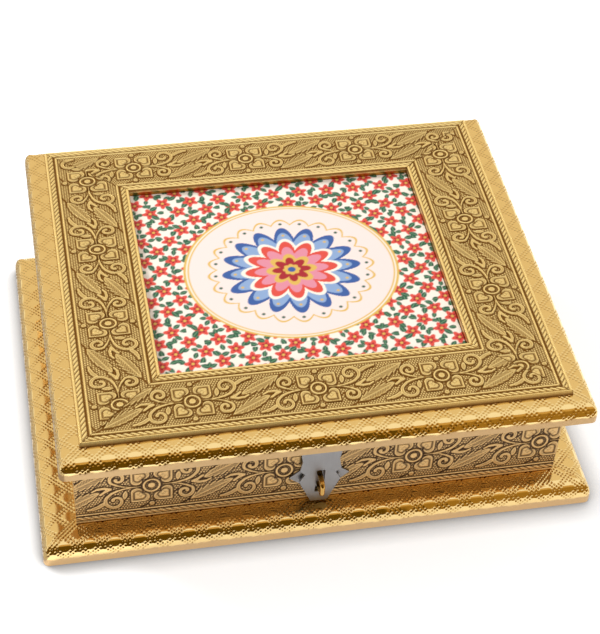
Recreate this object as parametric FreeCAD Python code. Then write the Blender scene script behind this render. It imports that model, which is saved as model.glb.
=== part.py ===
"""Dry fruit box: foil-covered plinth and walls, four compartments, a hinged lid with a print, and a hasp.

Millimetres. +X runs to the right along the front, +Y to the back and +Z up.
The origin is on the floor, under the middle of the box.
"""
import FreeCAD
import Part
import os
from FreeCAD import Vector

# Overall plan
wall_span_x = 240.0
wall_span_y = 182.0
plinth_margin_x = 17.5
plinth_margin_y = 14.0
lid_overhang_x = 7.0
lid_overhang_y = 21.0

# Plinth
plinth_band = 5.0
plinth_round = 7.0
moulding_width = 20.0
cover_sheet_thickness = 0.8

# Walls
wall_height = 58.0
wall_thickness = 6.0
foil_thickness = 0.5

# Inside
liner_thickness = 1.5
liner_clearance = 0.5
divider_thickness = 4.0
divider_height = 46.0
divider_lap_clearance = 0.1
lid_liner_thickness = 1.0
lid_liner_clearance = 1.5

# Lid
lid_band = 4.5
lid_round = 5.5
lid_ledge = 10.5
lid_back_ledge = 6.0
frame_height = 2.5
frame_side_width = 41.5
frame_front_width = 38.0
frame_back_width = 36.0
print_thickness = 0.6
print_recess = 2.5
print_clearance = 0.2

# Embossing on the lid's raised frame
emboss_relief = 0.85
border_share = 0.155
rail_share = 0.66
fillet_shares = (0.82, 0.99)
ring_radius_share = 0.155

# Flower repeats on the front, right, back and left strips, as shares of the strip's outer length
flower_pitch_shares = (0.2554, 0.2574, 0.2592, 0.2564)
flower_first_shares = (0.4876, 0.6087, 0.5433, 0.3827)

# Outlines of the motif from the flower's middle, as shares of the pitch and of the band's width
petal_shares = {
    "corner": (0.159, 0.356), "outer_start": (0.159, 0.129), "outer_bend": (0.107, 0.027),
    "notch": (0.069, 0.155), "inner_bend": (0.012, 0.241), "inner_end": (0.057, 0.356),
}
leaf_shares = {
    "base": (0.385, 0.045), "upper_bend": (0.526, 0.329),
    "tip": (0.711, 0.417), "lower_bend": (0.570, 0.133),
}
upper_scroll_shares = {
    "root_outside": (0.145, -0.017), "stem_outside": (0.247, -0.006), "turn_outside": (0.341, 0.126),
    "curl_outside": (0.310, 0.441), "end_outside": (0.213, 0.203), "end_inside": (0.244, 0.229),
    "curl_inside": (0.301, 0.367), "turn_inside": (0.319, 0.184), "stem_inside": (0.223, 0.066),
    "root_inside": (0.145, 0.017),
}
lower_scroll_shares = {
    "root_outside": (0.145, 0.017), "stem_outside": (0.240, -0.011), "turn_outside": (0.321, -0.138),
    "curl_outside": (0.260, -0.364), "end_outside": (0.190, -0.150), "end_inside": (0.222, -0.176),
    "curl_inside": (0.258, -0.288), "turn_inside": (0.290, -0.169), "stem_inside": (0.220, -0.072),
    "root_inside": (0.145, -0.017),
}

# Lid hinges
hinge_spacing_share = 0.58
hinge_width = 24.0
hinge_leaf_length = 13.0
hinge_leaf_thickness = 0.8
hinge_knuckle_radius = 2.2
hinge_pin_radius = 0.9
hinge_stand_off = 0.3
hinge_cut_clearance = 0.4
knuckle_side_gap = 0.2
pin_clearance = 0.05
knuckle_middle_share = 0.36

# Nails of the hinges, the hasp leaf and the staple plate
nail_shank_radius = 0.6
nail_head_radius = 1.3
nail_head_height = 0.4
nail_depth = 4.0
nail_clearance = 0.05
nail_spread_share = 0.58
nail_seat_share = 0.62

# Hasp
hasp_centre_x = -1.5
hasp_plane = 2.5
hasp_thickness = 1.0
hasp_width = 20.4
hasp_tip_width = 8.2
hasp_neck_width = 18.2
hasp_waist_width = 15.0
hasp_length = 55.0
hasp_knuckle_radius = 1.8
hasp_pin_radius = 0.7
hasp_leaf_length = 12.0
slot_width = 4.6
slot_height = 16.0
slot_centre_drop = 40.2

# Heights of the flap's outline points as shares of its length below the hinge pin
shoulder_share = 0.33
notch_share = 0.455
ear_share = 0.575
waist_share = 0.63
hip_share = 0.72

# Staple
staple_wire = 2.6
staple_rise = 8.0
staple_reach = 10.4
staple_bend = 2.6
staple_root = 5.0
staple_hole_clearance = 0.05
plate_thickness = 0.8
plate_width = 30.0
plate_height = 20.0
plate_lift = 1.8
plate_waist_share = 0.62
plate_step_share = 0.50
plate_end_share = 0.50
plate_nail_share = 0.20

cut_overrun = 5.0

# Derived sizes
plinth_x = wall_span_x + 2 * plinth_margin_x
plinth_y = wall_span_y + 2 * plinth_margin_y
plinth_top = plinth_band + plinth_round
lid_x = wall_span_x + 2 * lid_overhang_x
lid_y = wall_span_y + 2 * lid_overhang_y
lid_bottom = plinth_top + wall_height
lid_top = lid_bottom + lid_band + lid_round
board_x = wall_span_x - 2 * foil_thickness
board_y = wall_span_y - 2 * foil_thickness
inner_x = board_x - 2 * wall_thickness
inner_y = board_y - 2 * wall_thickness
front_face = -wall_span_y / 2
back_face = wall_span_y / 2
floor_top = plinth_top + liner_thickness
hinge_axis_y = back_face + hinge_stand_off + hinge_knuckle_radius
hinge_axis_z = lid_bottom - hinge_stand_off - hinge_knuckle_radius
hasp_axis_y = front_face - hasp_plane
hasp_axis_z = lid_bottom - hinge_stand_off - hasp_knuckle_radius
slot_centre_z = hasp_axis_z - slot_centre_drop
plate_centre_z = slot_centre_z + plate_lift
hinge_spacing = wall_span_x * hinge_spacing_share
hinge_centres = (-hinge_spacing / 2, hinge_spacing / 2)
sides = ("front", "right", "back", "left")

Z = Vector(0, 0, 1)
X = Vector(1, 0, 0)
Y = Vector(0, 1, 0)


# Helpers

def box(x0, x1, y0, y1, z0, z1):
    return Part.makeBox(x1 - x0, y1 - y0, z1 - z0, Vector(x0, y0, z0))


def centred_box(size_x, size_y, z0, z1):
    return box(-size_x / 2, size_x / 2, -size_y / 2, size_y / 2, z0, z1)


def rod(radius, start, direction, length):
    return Part.makeCylinder(radius, length, start, direction)


def plan_corners(x0, x1, y0, y1):
    """Corners of a rectangle seen from above, from the front left, anticlockwise."""
    return [Vector(x0, y0, 0), Vector(x1, y0, 0), Vector(x1, y1, 0), Vector(x0, y1, 0)]


def centred_corners(size_x, size_y):
    return plan_corners(-size_x / 2, size_x / 2, -size_y / 2, size_y / 2)


def mitre_block(outer, inner, side, z0, z1):
    """The block under one mitred side: its ends run from the outer corners to the inner ones."""
    after = (side + 1) % len(outer)
    points = [outer[side], outer[after], inner[after], inner[side], outer[side]]
    face = Part.Face(Part.makePolygon([p + Z * z0 for p in points]))
    return face.extrude(Z * (z1 - z0))


def rounded_run(outer, side, z0, band, radius, width):
    """A straight moulding along one side: upright band, quarter round, then a flat top."""
    start = outer[side]
    run = outer[(side + 1) % len(outer)] - start
    inward = Z.cross(run).normalize()

    def at(depth, height):
        return start + inward * depth + Z * (z0 + height)

    slope = radius * (1 - 0.5 ** 0.5)
    edges = [
        Part.makeLine(at(0, 0), at(0, band)),
        Part.Arc(at(0, band), at(slope, band + radius - slope), at(radius, band + radius)).toShape(),
        Part.makeLine(at(radius, band + radius), at(width, band + radius)),
        Part.makeLine(at(width, band + radius), at(width, 0)),
        Part.makeLine(at(width, 0), at(0, 0)),
    ]
    return Part.Face(Part.Wire(edges)).extrude(run)


def upright_plate(outline, y0, y1):
    """A flat plate from its outline of (x, z) points, between two depths."""
    points = [Vector(x, y0, z) for x, z in outline]
    return Part.Face(Part.makePolygon(points + points[:1])).extrude(Y * (y1 - y0))


def drill(shape, cutters):
    for cutter in cutters:
        shape = shape.cut(cutter)
    return shape


def nail(head_seat, inward):
    """A round-headed nail: its head sits at head_seat and its shank runs inward."""
    head = rod(nail_head_radius, head_seat - inward * nail_head_height, inward, nail_head_height)
    return head.fuse(rod(nail_shank_radius, head_seat, inward, nail_depth)).removeSplitter()


def nail_hole(head_seat, inward):
    start = head_seat - inward * cut_overrun
    return rod(nail_shank_radius + nail_clearance, start, inward, nail_depth + nail_clearance + cut_overrun)


# Where the nails go, as (head seat, direction) pairs

def hinge_nail_places(seat, direction):
    """Two nails for each hinge leaf; seat gives the point on the leaf for a position along X."""
    shift = hinge_width / 2 * nail_spread_share
    return [(seat(x + s * shift), direction) for x in hinge_centres for s in (-1, 1)]


def body_leaf_nail_places():
    y = back_face + hinge_leaf_thickness
    z = hinge_axis_z - hinge_leaf_length * nail_seat_share
    return hinge_nail_places(lambda x: Vector(x, y, z), Y * -1)


def lid_leaf_nail_places():
    y = hinge_axis_y + hinge_leaf_length * nail_seat_share
    z = lid_bottom - hinge_leaf_thickness
    return hinge_nail_places(lambda x: Vector(x, y, z), Z)


def hasp_leaf_nail_places():
    y = hasp_axis_y - hasp_leaf_length * nail_seat_share
    shift = hasp_width / 2 * nail_spread_share
    z = lid_bottom - hinge_leaf_thickness
    return [(Vector(hasp_centre_x + s * shift, y, z), Z) for s in (-1, 1)]


def plate_nail_places():
    shift = plate_width * plate_nail_share
    y = front_face - plate_thickness
    return [(Vector(hasp_centre_x + s * shift, y, plate_centre_z), Y) for s in (-1, 1)]


def nails(places):
    return Part.makeCompound([nail(seat, inward) for seat, inward in places])


def nail_holes(places):
    return [nail_hole(seat, inward) for seat, inward in places]


# Plinth

def plinth_core():
    size_x = plinth_x - 2 * moulding_width
    size_y = plinth_y - 2 * moulding_width
    return {
        "base_board": centred_box(size_x, size_y, cover_sheet_thickness, plinth_top),
        "base_cover_sheet": centred_box(size_x, size_y, 0, cover_sheet_thickness),
    }


def moulded_border(name, size_x, size_y, z0, band, radius):
    """Four mouldings mitred at the corners, named for the side that they lie on."""
    outer = centred_corners(size_x, size_y)
    inner = centred_corners(size_x - 2 * moulding_width, size_y - 2 * moulding_width)
    made = {}
    for side, side_name in enumerate(sides):
        run = rounded_run(outer, side, z0, band, radius, moulding_width)
        made[f"{name}_{side_name}"] = run.common(mitre_block(outer, inner, side, z0, z0 + band + radius))
    return made


# Walls

def staple_leg_places():
    return [slot_centre_z + s * staple_rise / 2 for s in (-1, 1)]


def staple_leg_holes():
    start = front_face - staple_reach
    length = staple_reach + foil_thickness + staple_root + staple_hole_clearance
    radius = staple_wire / 2 + staple_hole_clearance
    return [rod(radius, Vector(hasp_centre_x, start, z), Y, length) for z in staple_leg_places()]


def walls():
    z0, z1 = plinth_top, lid_bottom
    front_holes = staple_leg_holes() + nail_holes(plate_nail_places())
    back_holes = nail_holes(body_leaf_nail_places())
    front = box(-board_x / 2, board_x / 2, -board_y / 2, -inner_y / 2, z0, z1)
    back = box(-board_x / 2, board_x / 2, inner_y / 2, board_y / 2, z0, z1)
    front_foil = box(-wall_span_x / 2, wall_span_x / 2, front_face, -board_y / 2, z0, z1)
    back_foil = box(-wall_span_x / 2, wall_span_x / 2, board_y / 2, back_face, z0, z1)
    return {
        "wall_front": drill(front, front_holes),
        "wall_back": drill(back, back_holes),
        "wall_left": box(-board_x / 2, -inner_x / 2, -inner_y / 2, inner_y / 2, z0, z1),
        "wall_right": box(inner_x / 2, board_x / 2, -inner_y / 2, inner_y / 2, z0, z1),
        "wall_foil_front": drill(front_foil, front_holes),
        "wall_foil_back": drill(back_foil, back_holes),
        "wall_foil_left": box(-wall_span_x / 2, -board_x / 2, -board_y / 2, board_y / 2, z0, z1),
        "wall_foil_right": box(board_x / 2, wall_span_x / 2, -board_y / 2, board_y / 2, z0, z1),
    }


# Inside

def compartments():
    """A lined floor and two dividers, half lapped where they cross."""
    size_x = inner_x - 2 * liner_clearance
    size_y = inner_y - 2 * liner_clearance
    top = floor_top + divider_height
    middle = floor_top + divider_height / 2
    notch = divider_thickness + 2 * divider_lap_clearance
    long_notch = centred_box(notch, notch, middle, top + cut_overrun)
    cross_notch = centred_box(notch, notch, floor_top - cut_overrun, middle)
    return {
        "floor_liner": centred_box(size_x, size_y, plinth_top, floor_top),
        "divider_long": centred_box(size_x, divider_thickness, floor_top, top).cut(long_notch),
        "divider_cross": centred_box(divider_thickness, size_y, floor_top, top).cut(cross_notch),
    }


# Lid

def frame_rectangles():
    """Corners of the raised frame's outer edge and of its window."""
    half_x = lid_x / 2 - lid_ledge
    front = lid_ledge - lid_y / 2
    back = lid_y / 2 - lid_back_ledge
    outer = plan_corners(-half_x, half_x, front, back)
    window_x = half_x - frame_side_width
    inner = plan_corners(-window_x, window_x, front + frame_front_width, back - frame_back_width)
    return outer, inner


def between_rectangles(outer, inner, share):
    """The rectangle at a share of the way from one rectangle to another."""
    return [a + (b - a) * share for a, b in zip(outer, inner)]


def curved_face(*stretches):
    """A flat face bounded by stretches in order: two points make a line, three make an arc."""
    edges = []
    for points in stretches:
        straight = len(points) == 2
        edges.append(Part.makeLine(*points) if straight else Part.Arc(*points).toShape())
    return Part.Face(Part.Wire(edges))


def petal(at):
    """A heart-shaped petal with its point at the corner away from the ring."""
    p = {name: at(*shares) for name, shares in petal_shares.items()}
    return curved_face(
        (p["corner"], p["outer_start"]),
        (p["outer_start"], p["outer_bend"], p["notch"]),
        (p["notch"], p["inner_bend"], p["inner_end"]),
        (p["inner_end"], p["corner"]),
    )


def leaf(at):
    """A slanted leaf between two arcs."""
    p = {name: at(*shares) for name, shares in leaf_shares.items()}
    return curved_face((p["base"], p["upper_bend"], p["tip"]), (p["tip"], p["lower_bend"], p["base"]))


def scroll(at, outline_shares):
    """A stem that leaves the flower and curls into a hook."""
    p = {name: at(*shares) for name, shares in outline_shares.items()}
    return curved_face(
        (p["root_outside"], p["stem_outside"], p["turn_outside"]),
        (p["turn_outside"], p["curl_outside"], p["end_outside"]),
        (p["end_outside"], p["end_inside"]),
        (p["end_inside"], p["curl_inside"], p["turn_inside"]),
        (p["turn_inside"], p["stem_inside"], p["root_inside"]),
        (p["root_inside"], p["root_outside"]),
    )


def motif(middle, along, across):
    """Flower, scrolls and leaves about one middle; along is one pitch and across one band, as vectors."""
    faces = [Part.Face(Part.Wire([Part.makeCircle(across.Length * ring_radius_share, middle, Z)]))]
    for turn in (1, -1):
        def at(s, t):
            return middle + along * (s * turn) + across * (t * turn)

        faces += [petal(at), petal(lambda s, t: at(s, -t)), leaf(at)]
        faces += [scroll(at, upper_scroll_shares), scroll(at, lower_scroll_shares)]
    return faces


def embossed_strip(outer, inner, side):
    """One strip of the frame: a sunk ground, rails along both edges and the motif repeated between them."""
    top = lid_top + frame_height
    start = outer[side]
    run = outer[(side + 1) % len(outer)] - start
    reach = inner[side] - start
    inward = Z.cross(run).normalize()
    width = inward * reach.dot(inward)
    along = run * flower_pitch_shares[side]
    first = start + run * flower_first_shares[side] + width / 2 + Z * lid_top
    repeats = int(1 / flower_pitch_shares[side]) + 1
    faces = []
    for k in range(-repeats, repeats + 1):
        faces += motif(first + along * k, along, width * (1 - 2 * border_share))
    pads = [face.extrude(Z * frame_height) for face in faces]

    def stretch(start_share, end_share, height):
        edges = [between_rectangles(outer, inner, share) for share in (start_share, end_share)]
        return mitre_block(*edges, side, lid_top, height)

    band = stretch(border_share, 1 - border_share, top)
    raised = [pad.common(band) for pad in pads if pad.BoundBox.intersect(band.BoundBox)]
    raised = [pad for pad in raised if pad.Solids]
    for low, high in ((0, rail_share), fillet_shares):
        raised.append(stretch(border_share * low, border_share * high, top))
        raised.append(stretch(1 - border_share * high, 1 - border_share * low, top))
    return stretch(0, 1, top - emboss_relief).multiFuse(raised).removeSplitter()


def lid_frame():
    outer, inner = frame_rectangles()
    return {
        f"lid_frame_{side_name}": embossed_strip(outer, inner, side)
        for side, side_name in enumerate(sides)
    }


def lid_panel():
    """The lid's board with a recess for the print, the print, and the lining underneath."""
    size_x = lid_x - 2 * moulding_width
    size_y = lid_y - 2 * moulding_width
    _, window = frame_rectangles()
    low, high = window[0], window[2]
    floor = lid_top - print_recess
    recess = box(low.x, high.x, low.y, high.y, floor, lid_top + cut_overrun)
    gap = print_clearance
    sheet = box(low.x + gap, high.x - gap, low.y + gap, high.y - gap, floor, floor + print_thickness)
    liner_x = inner_x - 2 * lid_liner_clearance
    liner_y = inner_y - 2 * lid_liner_clearance
    return {
        "lid_board": centred_box(size_x, size_y, lid_bottom, lid_top).cut(recess),
        "picture_print": sheet,
        "lid_liner": centred_box(liner_x, liner_y, lid_bottom - lid_liner_thickness, lid_bottom),
    }


# Hinges

def knuckle_spans(centre, width):
    """Left, middle and right stretches of a hinge along X, with a running gap between them."""
    middle = width * knuckle_middle_share / 2
    gap = knuckle_side_gap / 2
    return [
        (centre - width / 2, centre - middle - gap),
        (centre - middle + gap, centre + middle - gap),
        (centre + middle + gap, centre + width / 2),
    ]


def tube(span, axis_y, axis_z, radius):
    return rod(radius, Vector(span[0], axis_y, axis_z), X, span[1] - span[0])


def pin_bore(centre, width, axis_y, axis_z, radius):
    span = (centre - width / 2 - cut_overrun, centre + width / 2 + cut_overrun)
    return tube(span, axis_y, axis_z, radius + pin_clearance)


def body_leaf(centre):
    """The leaf on the back wall, with the two outer knuckles."""
    left, _, right = knuckle_spans(centre, hinge_width)
    low = hinge_axis_z - hinge_leaf_length
    leaf = box(left[0], right[1], back_face, back_face + hinge_leaf_thickness, low, hinge_axis_z)
    relief = hinge_knuckle_radius + hinge_cut_clearance
    leaf = leaf.cut(box(left[1], right[0], back_face, hinge_axis_y, hinge_axis_z - relief, hinge_axis_z))
    for span in (left, right):
        leaf = leaf.fuse(tube(span, hinge_axis_y, hinge_axis_z, hinge_knuckle_radius))
    bore = pin_bore(centre, hinge_width, hinge_axis_y, hinge_axis_z, hinge_pin_radius)
    return drill(leaf.removeSplitter(), [bore] + nail_holes(body_leaf_nail_places()))


def lid_leaf(centre):
    """The leaf under the lid's back overhang, with the middle knuckle."""
    left, middle, right = knuckle_spans(centre, hinge_width)
    back = hinge_axis_y + hinge_leaf_length
    leaf = box(left[0], right[1], hinge_axis_y, back, lid_bottom - hinge_leaf_thickness, lid_bottom)
    relief = hinge_axis_y + hinge_knuckle_radius + hinge_cut_clearance
    for x0, x1 in ((left[0], middle[0]), (middle[1], right[1])):
        leaf = leaf.cut(box(x0, x1, hinge_axis_y, relief, lid_bottom - hinge_leaf_thickness, lid_bottom))
    leaf = leaf.fuse(tube(middle, hinge_axis_y, hinge_axis_z, hinge_knuckle_radius)).removeSplitter()
    bore = pin_bore(centre, hinge_width, hinge_axis_y, hinge_axis_z, hinge_pin_radius)
    return drill(leaf, [bore] + nail_holes(lid_leaf_nail_places()))


def lid_hinges():
    made = {
        "hinge_body_nails": nails(body_leaf_nail_places()),
        "hinge_lid_nails": nails(lid_leaf_nail_places()),
    }
    for hand, centre in zip(("left", "right"), hinge_centres):
        span = (centre - hinge_width / 2, centre + hinge_width / 2)
        made[f"hinge_body_leaf_{hand}"] = body_leaf(centre)
        made[f"hinge_lid_leaf_{hand}"] = lid_leaf(centre)
        made[f"hinge_pin_{hand}"] = tube(span, hinge_axis_y, hinge_axis_z, hinge_pin_radius)
    return made


# Hasp

def hasp_leaf():
    """The fixed leaf under the lid's front overhang, with the two outer knuckles."""
    left, _, right = knuckle_spans(hasp_centre_x, hasp_width)
    front = hasp_axis_y - hasp_leaf_length
    bottom = lid_bottom - hinge_leaf_thickness
    leaf = box(left[0], right[1], front, hasp_axis_y, bottom, lid_bottom)
    relief = hasp_axis_y - hasp_knuckle_radius - hinge_cut_clearance
    leaf = leaf.cut(box(left[1], right[0], relief, hasp_axis_y, bottom, lid_bottom))
    for span in (left, right):
        leaf = leaf.fuse(tube(span, hasp_axis_y, hasp_axis_z, hasp_knuckle_radius))
    bore = pin_bore(hasp_centre_x, hasp_width, hasp_axis_y, hasp_axis_z, hasp_pin_radius)
    return drill(leaf.removeSplitter(), [bore] + nail_holes(hasp_leaf_nail_places()))


def flap_outline(middle):
    """The flap seen from the front: a strap, notched shoulders, then a taper to a square tip."""
    strap = (middle[1] - middle[0]) / 2
    half = hasp_width / 2
    neck = hasp_neck_width / 2
    waist = hasp_waist_width / 2
    drop = hasp_knuckle_radius + hinge_cut_clearance

    def below(share):
        return hasp_axis_z - hasp_length * share

    right_side = [
        (strap, hasp_axis_z),
        (strap, hasp_axis_z - drop),
        (half, hasp_axis_z - drop),
        (half, below(shoulder_share)),
        (neck, below(notch_share)),
        (half, below(ear_share)),
        (waist, below(waist_share)),
        (half, below(hip_share)),
        (hasp_tip_width / 2, below(1)),
    ]
    left_side = [(-x, z) for x, z in reversed(right_side)]
    return [(hasp_centre_x + x, z) for x, z in right_side + left_side]


def hasp_flap():
    """The swinging flap, with the middle knuckle and the slot that drops over the staple."""
    _, middle, _ = knuckle_spans(hasp_centre_x, hasp_width)
    y0 = hasp_axis_y - hasp_thickness / 2
    y1 = hasp_axis_y + hasp_thickness / 2
    flap = upright_plate(flap_outline(middle), y0, y1)
    flap = flap.fuse(tube(middle, hasp_axis_y, hasp_axis_z, hasp_knuckle_radius)).removeSplitter()
    x0 = hasp_centre_x - slot_width / 2
    z0 = slot_centre_z - slot_height / 2
    slot = box(x0, x0 + slot_width, y0 - cut_overrun, y1 + cut_overrun, z0, z0 + slot_height)
    bore = pin_bore(hasp_centre_x, hasp_width, hasp_axis_y, hasp_axis_z, hasp_pin_radius)
    return drill(flap, [slot, bore])


def plate_outline():
    """The staple plate seen from the front: two pointed lobes and narrow ends behind the flap."""
    half = plate_width / 2
    rise = plate_height / 2
    waist = half * plate_waist_share
    step = rise * plate_step_share
    quarter = [(half, 0), (waist, step), (half * plate_end_share, rise)]
    left_top = [(-x, z) for x, z in reversed(quarter)]
    left_low = [(-x, -z) for x, z in quarter[1:]]
    right_low = [(x, -z) for x, z in reversed(quarter[1:])]
    outline = quarter + left_top + left_low + right_low
    return [(hasp_centre_x + x, plate_centre_z + z) for x, z in outline]


def staple_plate():
    plate = upright_plate(plate_outline(), front_face - plate_thickness, front_face)
    return drill(plate, staple_leg_holes() + nail_holes(plate_nail_places()))


def staple():
    """A bent wire loop that stands out from the wall, with both legs driven through it."""
    low, high = staple_leg_places()
    inside = front_face + foil_thickness + staple_root
    outside = front_face - staple_reach + staple_wire / 2
    turn = outside + staple_bend
    slope = staple_bend * (1 - 0.5 ** 0.5)

    def at(y, z):
        return Vector(hasp_centre_x, y, z)

    low_bend = at(outside, low + staple_bend)
    high_bend = at(outside, high - staple_bend)
    path = Part.Wire([
        Part.makeLine(at(inside, low), at(turn, low)),
        Part.Arc(at(turn, low), at(outside + slope, low + slope), low_bend).toShape(),
        Part.makeLine(low_bend, high_bend),
        Part.Arc(high_bend, at(outside + slope, high - slope), at(turn, high)).toShape(),
        Part.makeLine(at(turn, high), at(inside, high)),
    ])
    section = Part.Wire([Part.makeCircle(staple_wire / 2, at(inside, low), Y)])
    return path.makePipeShell([section], True, False)


def hasp_set():
    pin_span = (hasp_centre_x - hasp_width / 2, hasp_centre_x + hasp_width / 2)
    return {
        "hasp_leaf": hasp_leaf(),
        "hasp_leaf_nails": nails(hasp_leaf_nail_places()),
        "hasp_pin": tube(pin_span, hasp_axis_y, hasp_axis_z, hasp_pin_radius),
        "hasp_flap": hasp_flap(),
        "staple_plate": staple_plate(),
        "staple_plate_nails": nails(plate_nail_places()),
        "staple": staple(),
    }


# Assembly

def lid_mouldings():
    """The lid's border, with nail holes in the sides that carry the hinges and the hasp."""
    made = moulded_border("lid_moulding", lid_x, lid_y, lid_bottom, lid_band, lid_round)
    made["lid_moulding_back"] = drill(made["lid_moulding_back"], nail_holes(lid_leaf_nail_places()))
    made["lid_moulding_front"] = drill(made["lid_moulding_front"], nail_holes(hasp_leaf_nail_places()))
    return made


def assembly():
    made = {}
    made.update(plinth_core())
    made.update(moulded_border("plinth", plinth_x, plinth_y, 0, plinth_band, plinth_round))
    made.update(walls())
    made.update(compartments())
    made.update(lid_panel())
    made.update(lid_mouldings())
    made.update(lid_frame())
    made.update(lid_hinges())
    made.update(hasp_set())
    return made


os.makedirs("parts", exist_ok=True)
for node, shape in assembly().items():
    shape.exportStep(f"parts/{node}.step")
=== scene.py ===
"""Dry fruit box: embossed gold foil, a matt print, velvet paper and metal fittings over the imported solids.

Sizes in the classes are millimetres, apart from lamps and cards, which are placed in metres. Meshes are in
metres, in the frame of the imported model.
"""

import logging
import math
from dataclasses import dataclass, field
from enum import Enum

import bpy
import numpy as np
from mathutils import Matrix, Vector


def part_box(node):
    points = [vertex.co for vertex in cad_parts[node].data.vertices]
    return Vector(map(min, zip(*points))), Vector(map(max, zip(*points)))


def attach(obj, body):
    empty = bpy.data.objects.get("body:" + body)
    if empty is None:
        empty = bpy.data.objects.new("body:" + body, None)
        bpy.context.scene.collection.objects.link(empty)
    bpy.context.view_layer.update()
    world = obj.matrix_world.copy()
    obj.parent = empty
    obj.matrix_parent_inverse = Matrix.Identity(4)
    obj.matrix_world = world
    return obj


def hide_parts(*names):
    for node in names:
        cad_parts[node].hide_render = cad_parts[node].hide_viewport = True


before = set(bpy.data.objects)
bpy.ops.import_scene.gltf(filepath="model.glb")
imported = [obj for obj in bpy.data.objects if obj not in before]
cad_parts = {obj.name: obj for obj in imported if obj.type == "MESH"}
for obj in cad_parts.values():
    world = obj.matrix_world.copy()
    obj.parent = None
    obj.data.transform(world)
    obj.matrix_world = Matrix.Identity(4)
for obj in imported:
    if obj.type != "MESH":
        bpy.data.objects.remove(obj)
log = logging.getLogger("dry_fruit_box")

Array = np.ndarray
Socket, Tree = bpy.types.NodeSocket, bpy.types.NodeTree
Material, Piece = bpy.types.Material, bpy.types.Object
Inputs = dict[object, object]
MM = 0.001


def box_mm(node: str) -> tuple[Array, Array]:
    """Gives the lowest and highest corners of a CAD node.

    Args:
        node: the CAD node's name.

    Returns:
        The two corners in millimetres.
    """
    low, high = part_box(node)
    return np.array(low) / MM, np.array(high) / MM


def linear(code: str) -> tuple[float, float, float, float]:
    """Turns an sRGB hex colour to linear light.

    Args:
        code: six hex digits, such as "D9B26A".

    Returns:
        Red, green, blue and an alpha of 1.
    """
    parts = np.array([int(code[i:i + 2], 16) for i in (0, 2, 4)]) / 255
    low, high = parts / 12.92, ((parts + 0.055) / 1.055) ** 2.4
    return (*np.where(parts <= 0.04045, low, high).tolist(), 1.0)


def ease(value: Array, start: float, end: float) -> Array:
    """Smooth step: 0 before start, 1 after end and an S-curve between them."""
    x = np.clip((value - start) / (end - start), 0, 1)
    return x * x * (3 - 2 * x)


def swell(inside: Array, rise: float) -> Array:
    """Quarter-round edge: 0 outside a shape, rising to 1 at `rise` millimetres inside it."""
    x = np.clip(inside / rise, 0, 1)
    return np.sqrt(np.clip(1 - (1 - x) ** 2, 0, 1))


def lipped(inside: Array, rise: float) -> Array:
    """Edge of a stamped shape: it rises as `swell` does, with a shallow groove cut just behind the lip."""
    return swell(inside, rise) * (1 - 0.34 * np.exp(-((inside - 1.75 * rise) / (0.5 * rise)) ** 2))


def with_ends(values: Array, flat: float | None = None) -> Array:
    """Adds a column at each edge of a grid, which repeats the edge or takes a flat value.

    Args:
        values: array (path, profile) of numbers or (path, profile, 4) of colours.
        flat: value of both new columns, or None to repeat the edges.

    Returns:
        The wider array.
    """
    first, last = values[:, :1], values[:, -1:]
    if flat is not None:
        first, last = np.full_like(first, flat), np.full_like(last, flat)
    return np.concatenate([first, values, last], axis=1)


def grid_piece(name: str, points: Array, values: dict[str, Array]) -> Piece:
    """Makes a closed solid from a profile carried along a path.

    Point (i, j) is place i on the path and place j round the profile. The profile closes on itself, each
    end is capped by one face, and path x profile points outwards.

    Args:
        name: the piece's name.
        points: array (path, profile, 3) in millimetres.
        values: arrays (path, profile) of numbers or (path, profile, 4) of colours, kept as attributes.

    Returns:
        The object, linked to the scene.
    """
    count, around = points.shape[:2]
    index = np.arange(count * around).reshape(count, around)
    after = np.roll(index, -1, axis=1)
    quads = np.stack([index[:-1], index[1:], after[1:], after[:-1]], axis=-1).reshape(-1)
    corners = np.concatenate([quads, index[0], index[-1, ::-1]])
    starts = np.concatenate([np.arange(0, quads.size, 4), [quads.size, quads.size + around]])
    mesh = bpy.data.meshes.new(name)
    mesh.vertices.add(index.size)
    mesh.vertices.foreach_set("co", (points * MM).astype(np.float32).reshape(-1))
    mesh.loops.add(corners.size)
    mesh.loops.foreach_set("vertex_index", corners.astype(np.int32))
    mesh.polygons.add(starts.size)
    mesh.polygons.foreach_set("loop_start", starts.astype(np.int32))
    mesh.update(calc_edges=True)
    mesh.validate()
    for key, value in values.items():
        kind, part = ("FLOAT_COLOR", "color") if value.ndim == 3 else ("FLOAT", "value")
        layer = mesh.attributes.new(key, kind, "POINT")
        layer.data.foreach_set(part, value.astype(np.float32).reshape(-1))
    mesh.polygons.foreach_set("use_smooth", np.ones(starts.size, dtype=bool))
    mesh.set_sharp_from_angle(angle=math.radians(55))
    piece = bpy.data.objects.new(name, mesh)
    bpy.context.scene.collection.objects.link(piece)
    return piece


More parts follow.
